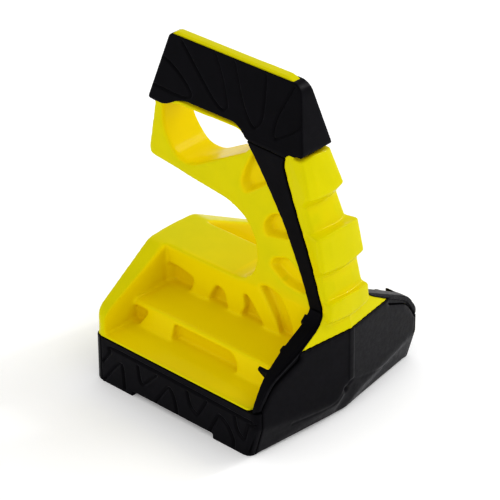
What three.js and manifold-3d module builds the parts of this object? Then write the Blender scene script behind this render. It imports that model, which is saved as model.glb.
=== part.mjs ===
// Carry-handled wheel chock: a yellow moulded core dressed in separate black rubber pieces.
// Millimetres, +Z up. The toe points along +X, left is +Y, and Z = 0 is the ground under the sole.
// The chock is symmetric about the plane Y = 0, so outlines seen from the front are given for +Y.

import * as THREE from "three";
import { mergeVertices } from "three/addons/utils/BufferGeometryUtils.js";
import Module from "manifold-3d";

const wasm = await Module();
wasm.setup();

// ---------- driving dimensions ----------
const HALF_WIDTH = 98.5; // base, at the outer faces of the side treads
const HEEL_CORNER_X = -88;
const HEEL_MID_X = -100;
const TOE_FOOT_X = [91.5, 80.3]; // bottom edge of the toe, in the middle and at the corners
const WALL_MID_X = 99.6; // toe wall above its undercut
const WALL_SWEEP = 0.121; // how far the toe wall falls back per mm away from the middle
const TOE_CORNER_R = 5.5;
const DART = { half: 12, top: 31, foot: 17 }; // where the undercut rises to a point at the crease
const UNDERCUT_SIDE = 28; // height of the undercut at the corners
const TREAD_HEIGHT = 44; // top of the yellow lip over the side treads
const LIP = 1.6; // thickness of that lip
const TREAD_THICK = 6;
const SOLE_THICK = 8;
const ARCH = { from: -46, to: 41, height: 4.6 }; // the base is raised between its two feet
const BOOT_THICK = 8;
const BOOT_TOP = 79.4;
const HEEL_WALL_X = -77; // inner face of the heel wall
const TOE_WALL_X = [77, 82]; // inner face of the toe wall, in the middle and at the sides
const DECK = 97; // floor of the throat
const SHELF_TOP = 62;
const SHELF_HALF = [62.5, 68]; // half width of the shelf at its top and of its wall's foot
const SHELF_PLATE = 4.5;
const WEB_HALF = 24.5; // web half thickness at the deck
const GRIP_HALF = 17.2; // web half thickness under the grip
const ROOF_END = 114; // top of the fillet between the toe wall's roof and the tower
const GRIP_BOTTOM = 221;
const CREST_HALF = 4.6; // half thickness at the top of the grip
const CREST = 275.8;
const RIDGE_TOP = 277.8;
const RIDGE_HALF = 4.2;
const GRIP_SKIN = 4.5; // thickness of the grip cover
const ROOF_SKIN = 3.6; // thickness of the shoulder strips
const PROUD = 1; // how far the rubber stands out of the web
const NOSE_BOW = 1.4; // how far the tower's front bows out in the middle
const INLAY = 3.2; // how deep the spine strips sit in it
const POCKET_DEPTH = 7.5;
const NOTCH_DEPTH = 3.2;
const GAP = 0.3;
const STEP = 0.03; // offset that keeps two joined faces out of one plane
const FAR = 160; // beyond every face, for cutters

// ---------- solids ----------
function solid(geometry) {
  const bare = geometry.index ? geometry.toNonIndexed() : geometry.clone();
  bare.deleteAttribute("normal");
  bare.deleteAttribute("uv");
  const merged = mergeVertices(bare, 1e-4);
  return new wasm.Manifold(
    new wasm.Mesh({
      numProp: 3,
      vertProperties: merged.attributes.position.array,
      triVerts: new Uint32Array(merged.index.array),
    }),
  );
}

function joined(solids) {
  return solids.reduce((all, one) => all.add(one));
}

// Both a solid and its mirror image across Y = 0.
function bothSides(geometryOf) {
  return joined([1, -1].map((side) => geometryOf(side)));
}

// Extrusions of an outline: along Y (outline in X, Z), along X (outline in Y, Z) and along Z (X, Y).
function prismY(shape, from, to) {
  const basis = new THREE.Matrix4().makeBasis(
    new THREE.Vector3(1, 0, 0),
    new THREE.Vector3(0, 0, 1),
    new THREE.Vector3(0, -1, 0),
  );
  return solid(extruded(shape, to - from).applyMatrix4(basis).translate(0, to, 0));
}

function prismX(shape, from, to) {
  const basis = new THREE.Matrix4().makeBasis(
    new THREE.Vector3(0, 1, 0),
    new THREE.Vector3(0, 0, 1),
    new THREE.Vector3(1, 0, 0),
  );
  return solid(extruded(shape, to - from).applyMatrix4(basis).translate(from, 0, 0));
}

function prismZ(shape, from, to) {
  return solid(extruded(shape, to - from).translate(0, 0, from));
}

function extruded(shape, depth) {
  return new THREE.ExtrudeGeometry(shape, { depth, bevelEnabled: false, curveSegments: 6 });
}

function box(x0, x1, y0, y1, z0, z1) {
  const geometry = new THREE.BoxGeometry(x1 - x0, y1 - y0, z1 - z0);
  return solid(geometry.translate((x0 + x1) / 2, (y0 + y1) / 2, (z0 + z1) / 2));
}

// A closed outline through points [x, y, corner radius].
function outline(points) {
  const shape = new THREE.Shape();
  const count = points.length;
  points.forEach(([x, y, radius = 0], i) => {
    const here = new THREE.Vector2(x, y);
    const before = new THREE.Vector2(...points[(i + count - 1) % count].slice(0, 2));
    const after = new THREE.Vector2(...points[(i + 1) % count].slice(0, 2));
    const start = here.clone().add(before.sub(here).setLength(radius));
    const end = here.clone().add(after.sub(here).setLength(radius));
    if (i === 0) shape.moveTo(start.x, start.y);
    else shape.lineTo(start.x, start.y);
    if (radius > 0) shape.quadraticCurveTo(x, y, end.x, end.y);
  });
  shape.closePath();
  return shape;
}

// An outline symmetric about its y axis, from the points of its right half, bottom to top.
function mirrored(points) {
  const left = points.map(([x, ...rest]) => [-x, ...rest]).reverse();
  return outline([...points, ...left]);
}

// A solid through rings of points: every ring has the same count, and the ends are flat.
function loft(rings) {
  const count = rings[0].length;
  const flat = rings.flat();
  const triangles = [];
  for (let r = 0; r + 1 < rings.length; r++) {
    for (let i = 0; i < count; i++) {
      const a = r * count + i;
      const b = r * count + ((i + 1) % count);
      triangles.push([a, b, b + count], [a, b + count, a + count]);
    }
  }
  const last = (rings.length - 1) * count;
  for (let i = 1; i + 1 < count; i++) {
    triangles.push([0, i + 1, i], [last, last + i, last + i + 1]);
  }
  const positions = triangles.flat().flatMap((index) => flat[index].toArray());
  const geometry = new THREE.BufferGeometry();
  geometry.setAttribute("position", new THREE.Float32BufferAttribute(positions, 3));
  const made = solid(geometry);
  return made.volume() > 0 ? made : solid(turned(geometry));
}

function turned(geometry) {
  const position = geometry.attributes.position;
  for (let i = 0; i < position.count; i += 3) {
    const a = new THREE.Vector3().fromBufferAttribute(position, i);
    const b = new THREE.Vector3().fromBufferAttribute(position, i + 1);
    position.setXYZ(i, b.x, b.y, b.z);
    position.setXYZ(i + 1, a.x, a.y, a.z);
  }
  return geometry;
}

// ---------- shared outlines and limits ----------
// Half thickness of the web at each height.
function webHalf(z) {
  if (z <= DECK) return WEB_HALF;
  if (z <= GRIP_BOTTOM) {
    return THREE.MathUtils.mapLinear(z, DECK, GRIP_BOTTOM, WEB_HALF, GRIP_HALF);
  }
  return THREE.MathUtils.mapLinear(z, GRIP_BOTTOM, CREST, GRIP_HALF, CREST_HALF);
}

// The web's front view, made thicker by grow on each side.
function webSection(grow, top) {
  const heights = [-1, DECK, GRIP_BOTTOM, top];
  return mirrored(heights.map((z) => [webHalf(z) + grow, z]));
}

// Plan of the base behind the toe, moved in by inset: straight sides and a bowed heel.
function basePlan(inset) {
  return outline([
    [FAR, -HALF_WIDTH + inset],
    [FAR, HALF_WIDTH - inset],
    [HEEL_CORNER_X + inset, HALF_WIDTH - inset, 9],
    [HEEL_MID_X + inset, 0, 30],
    [HEEL_CORNER_X + inset, -HALF_WIDTH + inset, 9],
  ]);
}

// Everything behind the toe's front surface, moved back by inset. The wall sweeps back from a
// crease in the middle to rounded corners, and is undercut towards the ground.
function behindToe(inset) {
  const cornerStart = HALF_WIDTH - TOE_CORNER_R;
  const setBack = (y) => {
    const along = THREE.MathUtils.clamp((y - cornerStart) / TOE_CORNER_R, 0, 1);
    return TOE_CORNER_R * (1 - Math.sqrt(1 - along ** 2)) + inset;
  };
  const kneeAt = (y) =>
    y < DART.half
      ? THREE.MathUtils.mapLinear(y, 0, DART.half, DART.top, DART.foot)
      : THREE.MathUtils.mapLinear(y, DART.half, HALF_WIDTH, DART.foot, UNDERCUT_SIDE);
  const station = (signedY) => {
    const y = Math.abs(signedY);
    const foot = THREE.MathUtils.lerp(...TOE_FOOT_X, y / HALF_WIDTH) - setBack(y);
    const wall = WALL_MID_X - WALL_SWEEP * y - setBack(y);
    const points = [
      [0, -1],
      [foot, -1],
      [foot, 0],
      [wall, kneeAt(y)],
      [wall - 0.8, BOOT_TOP],
      [wall - 5.6, 98.5],
      [wall - 7, ROOF_END],
      [0, ROOF_END],
    ];
    return points.map(([x, z]) => new THREE.Vector3(x, signedY, z));
  };
  const round = [0, 0.4, 0.7, 0.9, 1].map((share) => cornerStart + share * TOE_CORNER_R);
  const half = [DART.half, ...round, HALF_WIDTH + 1];
  const front = loft([...half.map((y) => -y).reverse(), 0, ...half].map(station));
  return front.add(box(-FAR, 1, -HALF_WIDTH - 1, HALF_WIDTH + 1, -1, ROOF_END));
}

// The base's outer body up to the lip, and the body inside its rubber.
function baseBody(inset, frontInset, from, to) {
  return prismZ(basePlan(inset), from, to).intersect(behindToe(frontInset));
}

// Front views of the two tent-shaped end walls: upright sides, a rounded eave and a sloping roof.
const HEEL_TENT = [
  [HALF_WIDTH - 1, 10],
  [HALF_WIDTH - 1, 60, 4],
  [91, 66, 4],
  [WEB_HALF + 2, DECK, 3],
];
const TOE_TENT = [
  [HALF_WIDTH - 0.5, 10],
  [HALF_WIDTH - 0.5, 46, 6],
  [84, 66, 8],
  [27.5, 95.5, 10],
  [22.5, ROOF_END - 1],
];

// A tent outline, moved in by thick at the sides and less towards the tower.
function tent(points, thick) {
  const inward = (y) => thick * Math.min(1, y / 84);
  return mirrored(points.map(([y, z, radius]) => [y - inward(y), z - inward(y) * 0.7, radius]));
}

// The toe wall's body, between its slanting inner face and its front surface.
function toeWall(skin, frontInset, from) {
  const inner = outline([
    [TOE_WALL_X[0], 0],
    [TOE_WALL_X[0], -60],
    [TOE_WALL_X[1], -HALF_WIDTH - 1],
    [FAR, -HALF_WIDTH - 1],
    [FAR, HALF_WIDTH + 1],
    [TOE_WALL_X[1], HALF_WIDTH + 1],
    [TOE_WALL_X[0], 60],
  ]);
  return prismX(tent(TOE_TENT, skin), 0, FAR)
    .intersect(prismZ(inner, from, ROOF_END))
    .intersect(behindToe(frontInset));
}

// ---------- grip ----------
const GRIP_PROFILE = [
  [-87.5, CREST, 4],
  [47.8, CREST, 9],
  [60.6, GRIP_BOTTOM + 1, 3],
  [46.5, GRIP_BOTTOM - 0.2, 2],
  [43.6, 217.4],
  [4.4, 218.6, 4],
  [-6, 228.4, 8],
  [-66.5, 228.4, 8],
  [-81.5, 219.4, 5],
  [-100.5, 219.5, 3],
];

// The hard core inside the grip cover.
function gripCore(grow) {
  const profile = outline([
    [-81 - grow, CREST - GRIP_SKIN + grow],
    [44 + grow, CREST - GRIP_SKIN + grow],
    [54 + grow, GRIP_BOTTOM - 2],
    [20, 208],
    [-93.5 - grow, 208],
    [-93.5 - grow, 224],
  ]);
  const lower = webHalf(GRIP_BOTTOM) - GRIP_SKIN + grow;
  const upper = webHalf(CREST - GRIP_SKIN) - 1.5 + grow;
  const section = mirrored([
    [lower + 0.6, 200],
    [lower, GRIP_BOTTOM],
    [upper, CREST - GRIP_SKIN + grow],
  ]);
  return prismY(profile, -FAR, FAR).intersect(prismX(section, -FAR, FAR));
}

// The ridge along the top of the core, which shows through a slot in the grip cover.
function ridge(grow) {
  const profile = outline([
    [-86 - grow, CREST - GRIP_SKIN - 3],
    [43 + grow, CREST - GRIP_SKIN - 3],
    [42 + grow, CREST - 2],
    [34 + grow, RIDGE_TOP, 3],
    [-83 - grow, RIDGE_TOP, 2],
    [-86 - grow, CREST - 1.5],
  ]);
  const half = RIDGE_HALF + grow;
  return prismY(profile, -half, half);
}

function gripCover() {
  const skin = prismY(outline(GRIP_PROFILE), -FAR, FAR).intersect(
    prismX(webSection(PROUD, CREST), -FAR, FAR),
  );
  return skin.subtract(gripCore(GAP)).subtract(ridge(GAP)).subtract(webPlate(GAP));
}

// ---------- core ----------
// Side view of the ring, tower and lower web, with the throat open to the heel side.
function webProfile() {
  const shape = new THREE.Shape();
  shape.moveTo(-80, 30);
  shape.lineTo(86, 30);
  shape.lineTo(86, 90);
  shape.lineTo(76, 118);
  shape.lineTo(60, 160);
  shape.lineTo(50, 226);
  shape.lineTo(-93, 226);
  shape.lineTo(-98.8, 178);
  shape.quadraticCurveTo(-99.5, 171.5, -93, 170.5);
  shape.lineTo(-16, 161.2);
  shape.bezierCurveTo(8, 157, 19.5, 140, 19.5, 122);
  shape.bezierCurveTo(19.5, 106, 10, DECK, -4, DECK);
  shape.lineTo(-80, DECK);
  shape.closePath();
  return shape;
}

function fingerHole() {
  return outline([
    [-85.5, 222, 6],
    [-85, 200, 8],
    [-70, 177.5, 10],
    [-52, 176.5, 8],
    [4, 208, 6],
    [10, 217, 4],
    [-4, 224, 8],
  ]);
}

// The ring and tower up to the underside of the grip.
function webPlate(grow) {
  const plate = prismY(webProfile(), -FAR, FAR);
  return plate.intersect(prismX(webSection(grow, 226), -FAR, FAR));
}

// Plan of one slice of the tower front: a bowed nose with round corners, arched by lift mm, and
// as wide as the web at the back.
function noseRing(z, front, half, radius, back, lift = 0) {
  const steps = 3;
  const points = [new THREE.Vector3(back, -webHalf(z) - STEP, z)];
  for (let i = 0; i <= steps; i++) {
    const turn = (i / steps) * (Math.PI / 2);
    const x = front - radius * (1 - Math.sin(turn)) - NOSE_BOW;
    points.push(new THREE.Vector3(x, -half + radius * (1 - Math.cos(turn)), z));
  }
  points.push(new THREE.Vector3(front - NOSE_BOW / 4, -half / 2, z + lift / 2));
  points.push(new THREE.Vector3(front, 0, z + lift));
  const mirror = points.slice(0, -1).map((p) => new THREE.Vector3(p.x, -p.y, p.z));
  return [...points, ...mirror.reverse()];
}

// The tower's front between the blocks, as [height, front X].
const NOSE_LINE = [
  [88, 92],
  [110, 91],
  [131, 86.5],
  [163, 75.5],
  [184, 66.5],
  [218, 56],
];

// Blocks on the front, each as three slices [height, back X, front X, half width]: its top edge,
// its bottom edge and the end of the taper under it.
const BLOCKS = [
  [[218.8, 48, 61.3, 17.1], [191, 52.5, 72, 21.4], [182, 57, 66, 19.6]],
  [[163, 66, 84.8, 24], [136.5, 77.5, 90.6, 25.2], [128.5, 80.5, 84.6, 22.5]],
  [[109.5, 88, 97.2, 23.4], [95, 92.5, 98, 24.4], [90, 92.5, 93, 23]],
];

function towerFront() {
  const rings = NOSE_LINE.map(([z, front]) => noseRing(z, front, webHalf(z) + STEP, 4.5, front - 36));
  const lifts = [2, -2, -2];
  const blocks = BLOCKS.map((slices) => {
    const slice = ([z, back, front, half], i) => noseRing(z, front, half, 3, back, lifts[i]);
    return loft(slices.map(slice));
  });
  return joined([loft(rings), ...blocks]);
}

// Pockets in each side of the web, fanned round the throat, as outlines of [X, Z, radius].
const POCKETS = [
  [[11, 212, 2], [3, 194, 5], [-1, 180, 4], [4, 172.5, 4], [26, 188, 3], [30, 204, 2]],
  [[31, 165, 5], [24, 153, 5], [27, 145, 4], [52, 150, 3], [48, 172, 3]],
  [[33, 121, 3], [36, 129, 3], [52, 135, 6], [68, 122, 5], [72, 109, 3], [50, 111, 6]],
  [[46, 62.3], [31, 88, 5], [23, 98, 3], [29, 102, 4], [44, 99, 6], [56, 80, 6], [62, 62.3]],
  [[4, 62.3], [8, 72, 3], [5.5, 82, 2], [9, 85.5, 2], [16, 79, 4], [29, 62.3]],
  [[-32, 62.3], [-25, 77, 3], [-21, 81, 3], [-14, 77, 3], [-10, 62.3]],
  [[-76.6, 62.3], [-76.6, 80], [-62, 80, 4], [-46, 76, 5], [-52, 62.3]],
];

function pocket(points, side) {
  const mouth = outline(points).getPoints(4).slice(0, -1);
  const middle = new THREE.Vector2();
  mouth.forEach((p) => middle.add(p));
  middle.divideScalar(mouth.length);
  const surface = webHalf(middle.y) + 2;
  const ring = (share, y) =>
    mouth.map((p) => {
      const at = middle.clone().lerp(p, share);
      const z = p.y < SHELF_TOP + 1 ? p.y : at.y;
      return new THREE.Vector3(at.x, y * side, z);
    });
  return loft([ring(1.06, surface), ring(0.76, surface - POCKET_DEPTH - 2)]);
}

function pockets() {
  return bothSides((side) => joined(POCKETS.map((points) => pocket(points, side))));
}

// The shelf each side of the web and the sloping wall under it, with notches cut in the wall.
function shelf() {
  const section = mirrored([
    [SHELF_HALF[1] + 4, 30],
    [SHELF_HALF[1], TREAD_HEIGHT],
    [SHELF_HALF[0], SHELF_TOP],
  ]);
  const block = prismX(section, HEEL_WALL_X - 1, TOE_WALL_X[0] + 1);
  return block.subtract(bothSides((side) => joined(NOTCHES.map((n) => notch(n, side)))));
}

// Notches as [X from, X to at the top, X to at the bottom, radius of the far upper corner].
const NOTCHES = [
  [HEEL_WALL_X + GAP, -60, -68, 3],
  [-32, 36, 38, 12],
];

function notch([from, top, bottom, radius], side) {
  const shape = outline([
    [from, TREAD_HEIGHT],
    [bottom, TREAD_HEIGHT],
    [top, SHELF_TOP - SHELF_PLATE, radius],
    [from, SHELF_TOP - SHELF_PLATE],
  ]);
  const reach = [SHELF_HALF[0] - NOTCH_DEPTH, SHELF_HALF[1] + 1].map((y) => y * side);
  return prismY(shape, Math.min(...reach), Math.max(...reach));
}

function coreBody() {
  const inset = TREAD_THICK + GAP;
  const boot = BOOT_THICK + GAP;
  const web = joined([webPlate(0), towerFront()]).subtract(pockets());
  const heel = prismX(tent(HEEL_TENT, 0), -FAR, HEEL_WALL_X).intersect(
    baseBody(1, 1, TREAD_HEIGHT - LIP, DECK + 1),
  );
  const whole = joined([
    web,
    gripCore(0),
    ridge(0),
    baseBody(inset, boot, SOLE_THICK + GAP, TREAD_HEIGHT - LIP + 1),
    baseBody(0.6, boot, TREAD_HEIGHT - LIP, TREAD_HEIGHT),
    heel,
    shelf(),
    toeWall(ROOF_SKIN + GAP, boot, TREAD_HEIGHT - 1),
    toeWall(ROOF_SKIN + GAP, 0.8, BOOT_TOP + GAP),
  ]);
  return joined([whole]).subtract(
    joined([
      prismY(fingerHole(), -FAR, FAR),
      bothSides((side) => joined([spineStrip(side, GAP), shoulderTabs(side, GAP)])),
    ]),
  );
}

// ---------- rubber ----------
// Side view of the strip down each side of the tower, from the grip cover to the tower's foot.
function spineOutline(grow) {
  const shape = new THREE.Shape();
  shape.moveTo(4.7 - grow, 218.3 + grow);
  shape.quadraticCurveTo(31 - grow, 186, 46 - grow, 162);
  shape.quadraticCurveTo(66 - grow, 128, 77 - grow, 99 - grow);
  shape.lineTo(90 + grow, 95.5 - grow);
  shape.quadraticCurveTo(78 + grow, 132, 61 + grow, 166);
  shape.quadraticCurveTo(49 + grow, 192, 43.5 + grow, 206);
  shape.quadraticCurveTo(41 + grow, 212, 43.3 + grow, 217.1 + grow);
  shape.closePath();
  return shape;
}

function halfSpace(side, from = 0) {
  return box(-FAR, FAR, Math.min(side * from, side * FAR), Math.max(side * from, side * FAR), -1, 300);
}

function spineStrip(side, grow) {
  const outer = prismX(webSection(PROUD, 224), -FAR, FAR);
  const inner = prismX(webSection(-INLAY - grow, 224), -FAR, FAR);
  const strip = prismY(spineOutline(grow), -FAR, FAR).intersect(outer).subtract(inner);
  return strip.intersect(halfSpace(side));
}

// Rubber over the toe wall's roof and eave, and the cheek beside the boot, on one side.
function shoulderStrip(side) {
  const roof = toeWall(0, 0.4, TREAD_HEIGHT + GAP).subtract(
    prismX(tent(TOE_TENT, ROOF_SKIN), 0, FAR),
  );
  const cheek = toeWall(0, 1.8, TREAD_HEIGHT - LIP)
    .subtract(behindToe(BOOT_THICK))
    .intersect(box(0, FAR, -FAR, FAR, 0, BOOT_TOP));
  return roof
    .add(cheek)
    .subtract(toeBoot(GAP))
    .intersect(halfSpace(side, WEB_HALF + PROUD + GAP))
    .add(shoulderTabs(side, 0));
}

// Small tongues on a shoulder strip that reach back past the toe wall's inner edge, as
// [|Y|, half width, reach].
const TABS = [
  [31, 2.5, 2.5],
  [57, 2, 1.6],
  [77, 1.4, 7],
];

function shoulderTabs(side, grow) {
  const tab = ([y, half, reach]) => {
    const wall = TOE_WALL_X[0];
    const top = THREE.MathUtils.mapLinear(y, 27.5, 84, 95.5, 66);
    const shape = outline([
      [wall + 3, top + 3],
      [wall - reach - grow, top + 3],
      [wall - reach - grow, top - 3],
      [wall - 0.5 - grow, top - 7 - grow],
      [wall + 3, top - 7 - grow],
    ]);
    const ends = [side * (y - half - grow), side * (y + half + grow)];
    return prismY(shape, Math.min(...ends), Math.max(...ends));
  };
  return joined(TABS.map(tab)).intersect(prismX(tent(TOE_TENT, -grow), 0, FAR));
}

// Front view of the boot: up inside the side tread, round the cheek and along the yellow face.
function bootOutline(grow) {
  const edge = HALF_WIDTH - TREAD_THICK - GAP + grow;
  return mirrored([
    [edge, 0],
    [edge, TREAD_HEIGHT - 0.5],
    [87 + grow, 52, 3],
    [80 + grow, 60.5, 4],
    [53.2 + grow, 73.5 + grow],
    [53.7 + grow, BOOT_TOP + grow],
  ]);
}

function toeBoot(grow) {
  const shell = behindToe(-grow).subtract(behindToe(BOOT_THICK + grow));
  return prismX(bootOutline(grow), 50, FAR).intersect(shell);
}

// The rubber wall round the base, under the yellow lip.
function treadWall() {
  return baseBody(0, 0.4, 0, TREAD_HEIGHT - LIP - GAP).subtract(
    baseBody(TREAD_THICK, BOOT_THICK, -1, TREAD_HEIGHT),
  );
}

function sideTread(side) {
  const wall = treadWall().intersect(box(-80, FAR, -FAR, FAR, -1, 60));
  return wall.intersect(halfSpace(side, 1)).subtract(toeBoot(GAP)).subtract(arch());
}

// The raised stretch under the middle of the base.
function arch() {
  return box(ARCH.from, ARCH.to, -FAR, FAR, -1, ARCH.height);
}

function heelTread() {
  return treadWall().intersect(box(-FAR, -80 - GAP, -FAR, FAR, -1, 60));
}

function solePad() {
  return baseBody(TREAD_THICK + GAP, BOOT_THICK + GAP, 0, SOLE_THICK).subtract(arch());
}

// ---------- assembly ----------
const YELLOW = new THREE.MeshStandardMaterial({ color: 0xd6d214, roughness: 0.35, metalness: 0 });
const BLACK = new THREE.MeshStandardMaterial({ color: 0x141317, roughness: 0.6, metalness: 0 });

function mesh(name, made, material) {
  const { vertProperties, triVerts } = made.getMesh();
  const geometry = new THREE.BufferGeometry();
  geometry.setAttribute("position", new THREE.BufferAttribute(vertProperties, 3));
  geometry.setIndex(new THREE.BufferAttribute(triVerts, 1));
  geometry.computeVertexNormals();
  const node = new THREE.Mesh(geometry, material);
  node.name = name;
  return node;
}

const chock = new THREE.Group();
chock.add(mesh("core_body", coreBody(), YELLOW));
chock.add(mesh("grip_cover", gripCover(), BLACK));
chock.add(mesh("toe_boot", toeBoot(0), BLACK));
chock.add(mesh("heel_tread", heelTread(), BLACK));
chock.add(mesh("sole_pad", solePad(), BLACK));
for (const [word, side] of [["left", 1], ["right", -1]]) {
  chock.add(mesh("spine_strip_" + word, spineStrip(side, 0), BLACK));
  chock.add(mesh("shoulder_strip_" + word, shoulderStrip(side), BLACK));
  chock.add(mesh("side_tread_" + word, sideTread(side), BLACK));
}

export default chock;
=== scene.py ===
"""Looks for the wheel chock: fine meshes over the CAD nodes, materials, a pale floor, light and a camera.

Metres, and millimetres where a comment says so. +X is the toe, +Z is up, and the CAD shape is the same on
both sides of Y = 0.
"""

import math

import bpy
import numpy as np
from mathutils import Matrix, Vector
from mathutils.bvhtree import BVHTree


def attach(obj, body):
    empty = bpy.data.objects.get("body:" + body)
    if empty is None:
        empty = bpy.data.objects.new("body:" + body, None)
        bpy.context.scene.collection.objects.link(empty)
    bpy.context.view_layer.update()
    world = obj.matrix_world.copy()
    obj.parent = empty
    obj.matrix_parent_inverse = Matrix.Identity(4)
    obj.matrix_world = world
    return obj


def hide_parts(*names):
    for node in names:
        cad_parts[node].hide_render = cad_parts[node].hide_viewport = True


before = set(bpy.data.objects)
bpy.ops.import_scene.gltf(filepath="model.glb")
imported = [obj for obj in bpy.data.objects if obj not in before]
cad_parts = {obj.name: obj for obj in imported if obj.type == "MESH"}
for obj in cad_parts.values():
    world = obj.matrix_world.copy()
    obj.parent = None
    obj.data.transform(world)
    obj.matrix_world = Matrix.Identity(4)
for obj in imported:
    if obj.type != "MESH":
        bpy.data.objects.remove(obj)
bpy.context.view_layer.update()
MM = 0.001

SEAM_REACH = 3 * MM  # from a seam to where the edges are as soft as they get
PAINTED_SHADE_REACH = 120 * MM  # how far a surface still counts towards the painted shade and painted bounce light of another
PAINTED_SHADE_RAYS = 14
GROOVE_MARGIN = 4 * MM  # how far from a line its groove is still worked out
TREAD_GROOVE = (1.4, 1.05)  # depth and half width, mm
GRIP_GROOVE = (1.1, 0.85)
SOLE_BAR_STEP = 11 * MM
SOLE_BAR_DEPTH = 1.6 * MM

CAMERA_AZIMUTH = 42  # degrees, from straight along +Y
CAMERA_ELEVATION = 31
CAMERA_AIM = (-0.1283, 0.1335, 0)  # where the view's middle meets the floor
CAMERA_DISTANCE = 2.165
CAMERA_LENS = 177.1


# ---------- camera ----------
def add_camera():
    """A long lens from the front right, above the floor."""
    across, up = math.radians(CAMERA_AZIMUTH), math.radians(CAMERA_ELEVATION)
    right = Vector((math.cos(across), math.sin(across), 0))
    back = Vector((math.cos(up) * math.sin(across), -math.cos(up) * math.cos(across), math.sin(up)))
    camera = bpy.data.objects.new("camera", bpy.data.cameras.new("camera"))
    camera.data.lens = CAMERA_LENS
    camera.data.sensor_width = 36
    camera.data.clip_end = 20
    turn = Matrix((right, back.cross(right), back)).transposed().to_4x4()
    camera.matrix_world = Matrix.Translation(Vector(CAMERA_AIM) + back * CAMERA_DISTANCE) @ turn
    bpy.context.collection.objects.link(camera)
    bpy.context.scene.camera = camera


# ---------- mesh work ----------
def evaluated(mesh, kind, **settings):
    """A mesh after one modifier."""
    work = bpy.data.objects.new("work", mesh)
    bpy.context.collection.objects.link(work)
    modifier = work.modifiers.new(kind, kind)
    for name, value in settings.items():
        setattr(modifier, name, value)
    graph = bpy.context.evaluated_depsgraph_get()
    made = bpy.data.meshes.new_from_object(work.evaluated_get(graph))
    bpy.data.objects.remove(work)
    return made


def read(collection, field, width, kind=np.float32):
    """One field of every element, as an array with width columns."""
    values = np.empty(len(collection) * width, dtype=kind)
    collection.foreach_get(field, values)
    return values.reshape(-1, width) if width > 1 else values


def neighbour_tree(node):
    """The surface of every other CAD node."""
    corners, faces = [], []
    for name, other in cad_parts.items():
        if name == node:
            continue
        start = len(corners)
        corners += [v.co.copy() for v in other.data.vertices]
        faces += [[start + i for i in p.vertices] for p in other.data.polygons]
    return BVHTree.FromPolygons(corners, faces)


def roundness(points, node, soft, crisp):
    """How much each point may relax: less close to another piece, so that seams stay narrow."""
    tree = neighbour_tree(node)
    weight = soft(points) if callable(soft) else np.full(len(points), soft)
    for i, point in enumerate(points):
        distance = tree.find_nearest(point, SEAM_REACH)[3]
        if distance is not None:
            weight[i] = crisp + (weight[i] - crisp) * (distance / SEAM_REACH) ** 2
    return weight


def body_softness(points):
    """The body's edges are rounder on the heel wall and round the finger hole, and sharp on the blocks."""
    x, y, z = points.T / MM
    heel_wall = np.clip((-58 - x) / 8, 0, 1) * np.clip((z - 46) / 6, 0, 1)
    hole = np.clip((12 - x) / 12, 0, 1) * np.clip((z - 166) / 8, 0, 1)
    bay = 0.5 * np.clip((70 - x) / 8, 0, 1) * np.clip((104 - z) / 8, 0, 1)
    blocks = np.clip((x - 44) / 6, 0, 1) * np.clip((z - 90) / 6, 0, 1)
    return 0.2 - 0.1 * blocks + 0.3 * np.maximum(np.maximum(heel_wall, hole), bay)


def relaxed(points, edges, weight, rounds):
    """The points after rounds of moving each towards the middle of its neighbours."""
    a, b = edges[:, 0], edges[:, 1]
    degree = np.bincount(edges.ravel(), minlength=len(points))
    for _ in range(rounds):
        total = np.empty_like(points)
        for axis in range(3):
            column = points[:, axis]
            total[:, axis] = np.bincount(a, column[b], len(points)) + np.bincount(b, column[a], len(points))
        points = points + weight[:, None] * (total / degree[:, None] - points)
    return points


def fine_piece(node, slot, material, voxel=0.8, rounds=8, soft=0.5, crisp=0.12, carve=None, faces=150000):
    """A fine, round-edged piece that stands for a CAD node.

    voxel is the grain of the new mesh in mm. Its points relax for some rounds, by soft in the open and by
    crisp at a seam. carve(points, normals) then moves them for surface detail.
    """
    mesh = evaluated(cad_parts[node].data.copy(), "REMESH", mode="VOXEL", voxel_size=voxel * MM)
    points = read(mesh.vertices, "co", 3).astype(float)
    edges = read(mesh.edges, "vertices", 2, np.int32)
    points = relaxed(points, edges, roundness(points, node, soft, crisp), rounds)
    if carve:
        mesh.vertices.foreach_set("co", points.astype(np.float32).ravel())
        mesh.update()
        normals = read(mesh.vertex_normals, "vector", 3).astype(float)
        points = points + carve(points, normals)
    mesh.vertices.foreach_set("co", points.astype(np.float32).ravel())
    mesh.update()
    triangles = sum(len(p.vertices) - 2 for p in mesh.polygons)
    mesh = evaluated(mesh, "DECIMATE", ratio=min(1.0, faces / triangles))
    mesh.polygons.foreach_set("use_smooth", [True] * len(mesh.polygons))
    mesh.materials.clear()
    mesh.materials.append(material)
    piece = bpy.data.objects.new("skin_" + node, mesh)
    bpy.context.collection.objects.link(piece)
    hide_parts(node)
    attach(piece, "root")
    return piece


def stands_open(vertex):
    """Whether a point is on the tower's front or on the yellow top of the toe, which get less painted shade
    and bounce light.
    """
    x, y, z = vertex.co / MM
    tower = x > 45 and vertex.normal.x > 0.3
    toe = x > 66 and z > 62 and vertex.normal.z > 0.5
    return tower or toe


def half_dome(count):
    """Directions spread evenly over the half dome round +Z."""
    rays = []
    for k in range(count):
        lift = (k + 0.5) / count
        turn = k * math.pi * (3 - math.sqrt(5))
        flat = math.sqrt(1 - lift * lift)
        rays.append(Vector((flat * math.cos(turn), flat * math.sin(turn), lift)))
    return rays


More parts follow.
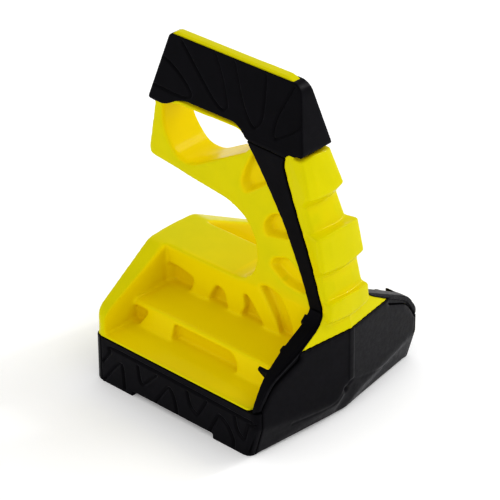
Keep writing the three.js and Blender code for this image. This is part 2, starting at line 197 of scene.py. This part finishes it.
def paint_bounce_and_shade(piece):
    """Stores on each vertex how enclosed it is, from 0 in the open to 1 deep in a corner: the amount of
    painted bounce light and painted shade on the yellow.
    """
    mesh = piece.data
    tree = BVHTree.FromPolygons([v.co for v in mesh.vertices], [p.vertices for p in mesh.polygons])
    rays = half_dome(PAINTED_SHADE_RAYS)
    painted_bounce_and_shade = np.zeros(len(mesh.vertices))
    for i, vertex in enumerate(mesh.vertices):
        normal = vertex.normal
        start = vertex.co + normal * (0.4 * MM)
        facing = normal.to_track_quat("Z", "Y")
        for ray in rays:
            distance = tree.ray_cast(start, facing @ ray, PAINTED_SHADE_REACH)[3]
            if distance is not None:
                painted_bounce_and_shade[i] += 1 - 0.75 * distance / PAINTED_SHADE_REACH
        # Less painted shade and bounce light on the tower's front and the toe's yellow top.
        if stands_open(vertex):
            painted_bounce_and_shade[i] *= 0.4
    painted_bounce_and_shade /= len(rays)
    edges = read(mesh.edges, "vertices", 2, np.int32)
    smooth = relaxed(np.repeat(painted_bounce_and_shade[:, None], 3, axis=1), edges, np.full(len(painted_bounce_and_shade), 0.5), 4)[:, 0]
    attribute = mesh.attributes.new("painted_bounce_and_shade", "FLOAT", "POINT")
    attribute.data.foreach_set("value", smooth.astype(np.float32))


# ---------- grooves ----------
# Lines are in mm: (X, Z) on the side treads and the grip cover, (Y, Z) on the heel tread and the toe.
def curve(*knots, steps=12):
    """A smooth line through a few points, in mm."""
    knots = [np.array(knot) for knot in knots]
    knots = [2 * knots[0] - knots[1], *knots, 2 * knots[-1] - knots[-2]]
    line = []
    for a, b, c, d in zip(knots, knots[1:], knots[2:], knots[3:]):
        for t in np.linspace(0, 1, steps, endpoint=False):
            bend = (c - a) * t + (2 * a - 5 * b + 4 * c - d) * t**2 + (3 * b - a - 3 * c + d) * t**3
            line.append(b + 0.5 * bend)
    return np.array(line + [knots[-2]]) * MM


def distance_to(lines, flat):
    """The distance of each 2-D point to the nearest line."""
    nearest = np.full(len(flat), 1.0)
    for line in lines:
        low, high = line.min(axis=0) - GROOVE_MARGIN, line.max(axis=0) + GROOVE_MARGIN
        close = np.flatnonzero(np.all((flat > low) & (flat < high), axis=1))
        for a, b in zip(line, line[1:]):
            along = b - a
            offset = flat[close] - a
            share = np.clip(offset @ along / (along @ along), 0, 1)
            gap = np.linalg.norm(offset - share[:, None] * along, axis=1)
            nearest[close] = np.minimum(nearest[close], gap)
    return nearest


def groove(flat, mask, lines, depth, width):
    """How far each masked point sinks: a round-bottomed groove along each line, depth and width in mm."""
    sink = np.zeros(len(flat))
    gap = distance_to(lines, flat[mask])
    sink[mask] = depth * MM * np.exp(-((gap / (width * MM)) ** 2))
    return sink


def arch_line(left, top, right, crown):
    """A leaning arch that stands on the bottom edge of a tread."""
    return curve(
        (left, 3),
        (left + 0.4 * (top - left), 0.55 * crown),
        (top - 0.2 * (top - left), 0.93 * crown),
        (top, crown),
        (top + 0.55 * (right - top), 0.8 * crown),
        (right - 0.5, 0.4 * crown),
        (right, 3),
    )


def dip_line(left, low, right, floor, ceiling=31.5):
    """A rounded V that hangs from the top edge of a tread."""
    return curve(
        (left, ceiling),
        (left + 0.3 * (low - left), floor + 6),
        (low - 1.2, floor + 0.8),
        (low + 1.8, floor + 0.8),
        (low + 0.5 * (right - low), floor + 7),
        (right, ceiling),
    )


TREAD_LINES = [
    arch_line(-77, -57.5, -54.5, 25),
    dip_line(-39, -34.5, -19, 16.5),
    arch_line(-22, -4.5, 3, 26),
    dip_line(14.5, 24.5, 35, 15),
    arch_line(37, 49.5, 63.5, 25),
    dip_line(64.5, 73.5, 79.5, 15),
    curve((-78, 20), (-74.5, 25), (-70, 31.5), (-67, 36), (-20, 36), (40, 35), (82, 34)),
    curve((79, 30.5), (84, 31.5), (87.5, 31), (86.5, 25), (79.5, 4)),
]
HEEL_LINES = [arch_line(y, y + 16, y + 22, 25) for y in (-88, -46, -4, 38)] + [
    dip_line(y, y + 7, y + 17, 15.5) for y in (-64, -22, 20, 62)
]
TOE_LINES = [curve((-60, 17.5), (-30, 15.5), (-14, 18), (0, 31.5), (14, 27), (52, 16))]
GRIP_LINES = [
    curve(
        (-96, 256),
        (-87, 255),
        (-77, 251),
        (-66, 244.5),
        (-56.5, 236),
        (-59.5, 232),
        (-70, 231),
        (-97, 232),
    ),
    curve(
        (-73.5, 273),
        (-54, 256),
        (-36, 241),
        (-26, 235),
        (-20.5, 235),
        (-20, 241),
        (-29, 259.5),
        (-38, 273),
    ),
    curve((-18.5, 273), (-5, 246.5), (5, 234), (11, 231), (15.5, 236.5), (16.5, 247), (14, 273)),
    curve((42.5, 273), (32.5, 250), (29.5, 238), (30.5, 230.5), (35, 230), (49, 240), (57.5, 249)),
]


def carve_tread(points, normals):
    """Wave grooves in the outer face of a side tread."""
    mask = (np.abs(normals[:, 1]) > 0.7) & (np.abs(points[:, 1]) > 95 * MM)
    sink = groove(points[:, [0, 2]], mask, TREAD_LINES, *TREAD_GROOVE)
    return -normals * sink[:, None]


def carve_heel(points, normals):
    """The same wave grooves across the heel tread."""
    mask = (normals[:, 0] < -0.7) & (points[:, 0] < -85 * MM)
    sink = groove(points[:, [1, 2]], mask, HEEL_LINES, *TREAD_GROOVE)
    return -normals * sink[:, None]


def carve_toe(points, normals):
    """The toe's faint centre rib, the crease above its undercut and a small dent beside the rib."""
    x, y, z = points.T
    front = (normals[:, 0] > 0.5) & (x > 84 * MM)
    crease = groove(points[:, [1, 2]], front, TOE_LINES, 0.3, 1.5)
    rib = 0.3 * MM * np.clip((3.4 * MM - np.abs(y)) / (0.8 * MM), 0, 1)
    rib[~front | (z < 33 * MM)] = 0
    dent = 2 * MM * np.exp(-(((y + 5 * MM) / (2.4 * MM)) ** 2) - ((z - 25 * MM) / (3.5 * MM)) ** 2)
    dent[~front] = 0
    return normals * (rib - crease - dent)[:, None]


def carve_shoulder(points, normals):
    """A bevel along the front of the shoulder's roof."""
    x, y, z = points.T
    drop = 0.7 * np.clip(x - 87.6 * MM, 0, 3 * MM)
    drop[(normals[:, 2] < 0.4) | (z < 66 * MM)] = 0
    return -normals * drop[:, None]


def carve_grip(points, normals):
    """Long loops in the sloping sides of the grip cover."""
    mask = np.abs(normals[:, 1]) > 0.75
    sink = groove(points[:, [0, 2]], mask, GRIP_LINES, *GRIP_GROOVE)
    return -normals * sink[:, None]


def carve_body(points, normals):
    """The raised parting line down the middle of the tower's foot."""
    x, y, z = points.T
    rib = 0.3 * MM * np.exp(-((y / (0.8 * MM)) ** 2))
    rib[(np.abs(normals[:, 1]) > 0.35) | (z > 97 * MM) | (x < 86 * MM)] = 0
    return normals * rib[:, None]


def carve_sole(points, normals):
    """Chevron bars across the sole's two feet."""
    x, y, z = points.T
    phase = (x + 0.45 * np.abs(y)) / SOLE_BAR_STEP
    bar = np.abs(phase - np.round(phase)) * SOLE_BAR_STEP
    depth = SOLE_BAR_DEPTH * np.clip((2.2 * MM - bar) / (0.9 * MM), 0, 1)
    depth[(normals[:, 2] > -0.8) | (z > 2 * MM) | (np.abs(y) > 86 * MM)] = 0
    return np.stack([0 * x, 0 * y, depth], axis=1)


# ---------- materials ----------
def new_material(name):
    """A material with its nodes, its links and its shader."""
    material = bpy.data.materials.new(name)
    material.use_nodes = True
    nodes = material.node_tree.nodes
    shader = nodes["Principled BSDF"]
    return material, nodes, material.node_tree.links, shader


def noise(nodes, links, scale, detail=3.0):
    """Noise on the piece's own coordinates, in metres."""
    place = nodes.new("ShaderNodeTexCoord")
    made = nodes.new("ShaderNodeTexNoise")
    made.inputs["Scale"].default_value = scale
    made.inputs["Detail"].default_value = detail
    links.new(place.outputs["Object"], made.inputs["Vector"])
    return made.outputs["Fac"]


def mapped(nodes, links, value, low, high, start=0.3, end=0.7):
    """A value between start and end, stretched to run from low to high."""
    made = nodes.new("ShaderNodeMapRange")
    made.inputs["From Min"].default_value = start
    made.inputs["From Max"].default_value = end
    made.inputs["To Min"].default_value = low
    made.inputs["To Max"].default_value = high
    links.new(value, made.inputs["Value"])
    return made.outputs["Result"]


def mixed(nodes, links, factor, first, second):
    """A colour between two, each a colour or another node's output."""
    made = nodes.new("ShaderNodeMix")
    made.data_type = "RGBA"
    links.new(factor, made.inputs["Factor"])
    for socket, colour in ((made.inputs[6], first), (made.inputs[7], second)):
        if isinstance(colour, tuple):
            socket.default_value = (*colour, 1)
        else:
            links.new(colour, socket)
    return made.outputs[2]


def bumped(nodes, links, shader, height, distance, strength):
    """Fine relief on a shader, distance metres high."""
    made = nodes.new("ShaderNodeBump")
    made.inputs["Strength"].default_value = strength
    made.inputs["Distance"].default_value = distance
    links.new(height, made.inputs["Height"])
    links.new(made.outputs["Normal"], shader.inputs["Normal"])


def yellow_plastic():
    """Lemon-yellow moulding: semi-gloss, faintly mottled, with painted bounce light (a brighter, warmer
    yellow) where it is partly enclosed and painted shade (a deeper orange) deep in corners.
    """
    material, nodes, links, shader = new_material("yellow_plastic")
    mottle = mapped(nodes, links, noise(nodes, links, 55), 0, 1, 0.35, 0.65)
    base = mixed(nodes, links, mottle, (0.600, 0.548, 0.001), (0.630, 0.568, 0.001))
    # Painted light from the enclosure attribute: a brighter warm yellow stands in for light bounced between
    # yellow faces, a deeper orange for shade in corners.
    painted_bounce_and_shade = nodes.new("ShaderNodeAttribute")
    painted_bounce_and_shade.attribute_name = "painted_bounce_and_shade"
    painted_bounce_level = mapped(nodes, links, painted_bounce_and_shade.outputs["Fac"], 0, 1, 0.05, 0.24)
    painted_shade_level = mapped(nodes, links, painted_bounce_and_shade.outputs["Fac"], 0, 1, 0.48, 0.95)
    painted_bounce = mixed(nodes, links, painted_bounce_level, base, (0.765, 0.605, 0.0006))
    deep = mixed(nodes, links, painted_shade_level, painted_bounce, (0.72, 0.49, 0.0004))
    links.new(deep, shader.inputs["Base Color"])
    links.new(mapped(nodes, links, noise(nodes, links, 140), 0.28, 0.36), shader.inputs["Roughness"])
    shader.inputs["Specular IOR Level"].default_value = 0.05
    shader.inputs["Coat Weight"].default_value = 0.12
    shader.inputs["Coat Roughness"].default_value = 0.12
    bumped(nodes, links, shader, noise(nodes, links, 900, 4), 0.0001, 0.25)
    return material


def black_rubber():
    """Black rubber with a dull satin sheen and a fine grain."""
    material, nodes, links, shader = new_material("black_rubber")
    mottle = mapped(nodes, links, noise(nodes, links, 90), 0, 1)
    base = mixed(nodes, links, mottle, (0.0020, 0.0017, 0.0034), (0.0034, 0.0029, 0.0052))
    links.new(base, shader.inputs["Base Color"])
    links.new(mapped(nodes, links, noise(nodes, links, 260), 0.38, 0.48), shader.inputs["Roughness"])
    shader.inputs["Specular IOR Level"].default_value = 0.135
    bumped(nodes, links, shader, noise(nodes, links, 1700, 5), 0.0001, 0.4)
    return material


def white_floor():
    """Matt white paper, lit a little from below like a studio table."""
    material, nodes, links, shader = new_material("floor")
    tone = mapped(nodes, links, noise(nodes, links, 6), 0, 1)
    white = mixed(nodes, links, tone, (0.96, 0.96, 0.96), (0.98, 0.98, 0.98))
    links.new(white, shader.inputs["Base Color"])
    shader.inputs["Roughness"].default_value = 0.9
    shader.inputs["Emission Color"].default_value = (1, 1, 1, 1)
    shader.inputs["Emission Strength"].default_value = 0.1
    shader.inputs["Specular IOR Level"].default_value = 0.0
    return material


# ---------- surroundings ----------
def add_floor():
    """A wide flat square under the chock."""
    size = 6.0
    mesh = bpy.data.meshes.new("floor")
    corners = [(-size, -size, 0), (size, -size, 0), (size, size, 0), (-size, size, 0)]
    mesh.from_pydata(corners, [], [(0, 1, 2, 3)])
    mesh.materials.append(white_floor())
    floor = bpy.data.objects.new("floor", mesh)
    bpy.context.collection.objects.link(floor)


def add_area_light(name, place, size, power, colour=(1, 1, 1)):
    """A round lamp that faces the chock."""
    light = bpy.data.objects.new(name, bpy.data.lights.new(name, "AREA"))
    light.data.shape = "DISK"
    light.data.size = size
    light.data.energy = power
    light.data.color = colour
    light.location = place
    aim = Vector((0, 0, 0.1)) - Vector(place)
    light.rotation_euler = aim.to_track_quat("-Z", "Y").to_euler()
    bpy.context.collection.objects.link(light)


def add_light():
    """A white studio, brighter at the horizon, with two soft lamps and a small one for the highlights."""
    world = bpy.context.scene.world or bpy.data.worlds.new("world")
    bpy.context.scene.world = world
    world.use_nodes = True
    nodes, links = world.node_tree.nodes, world.node_tree.links
    place = nodes.new("ShaderNodeTexCoord")
    height = nodes.new("ShaderNodeSeparateXYZ")
    links.new(place.outputs["Generated"], height.inputs["Vector"])
    strength = mapped(nodes, links, height.outputs["Z"], 1.06, 0.70, 0, 1)
    nodes["Background"].inputs["Color"].default_value = (1, 1, 1, 1)
    links.new(strength, nodes["Background"].inputs["Strength"])
    add_area_light("key", (0.75, 1.3, 1.55), 1.0, 10.5)
    add_area_light("fill", (0.2, -1.5, 0.8), 0.5, 3, (1, 0.97, 0.92))
    add_area_light("glint", (0.62, 1.5, 1.05), 0.14, 5)
    set_response()


def set_response():
    """A plain response with a short toe, so that black stays deep, and a floor that reaches white."""
    view = bpy.context.scene.view_settings
    view.view_transform = "Standard"
    view.use_curve_mapping = True
    response = view.curve_mapping.curves[3]
    response.points.new(0.025, 0.009)
    response.points.new(0.14, 0.12)
    response.points[-1].location = (0.96, 1.0)
    view.curve_mapping.update()


# ---------- the scene ----------
def rubber_piece(node, **settings):
    """A fine piece of the black rubber."""
    fine_piece(node, "black_rubber", black, **settings)


add_camera()
yellow = yellow_plastic()
black = black_rubber()
body = fine_piece(
    "core_body",
    "yellow_body",
    yellow,
    rounds=24,
    soft=body_softness,
    crisp=0.05,
    carve=carve_body,
    faces=185000,
)
# Painted bounce light and shade for the yellow body, stored as a vertex attribute.
paint_bounce_and_shade(body)
rubber_piece("grip_cover", voxel=0.6, rounds=9, crisp=0.06, carve=carve_grip)
rubber_piece("toe_boot", rounds=40, crisp=0.04, carve=carve_toe)
rubber_piece("heel_tread", voxel=0.6, carve=carve_heel)
rubber_piece("sole_pad", rounds=3, carve=carve_sole)
for side in ("left", "right"):
    rubber_piece("spine_strip_" + side, voxel=0.5, rounds=4, crisp=0.08)
    rubber_piece("shoulder_strip_" + side, voxel=0.5, crisp=0.06, carve=carve_shoulder)
    rubber_piece("side_tread_" + side, voxel=0.6, rounds=6, carve=carve_tread)
add_floor()
add_light()
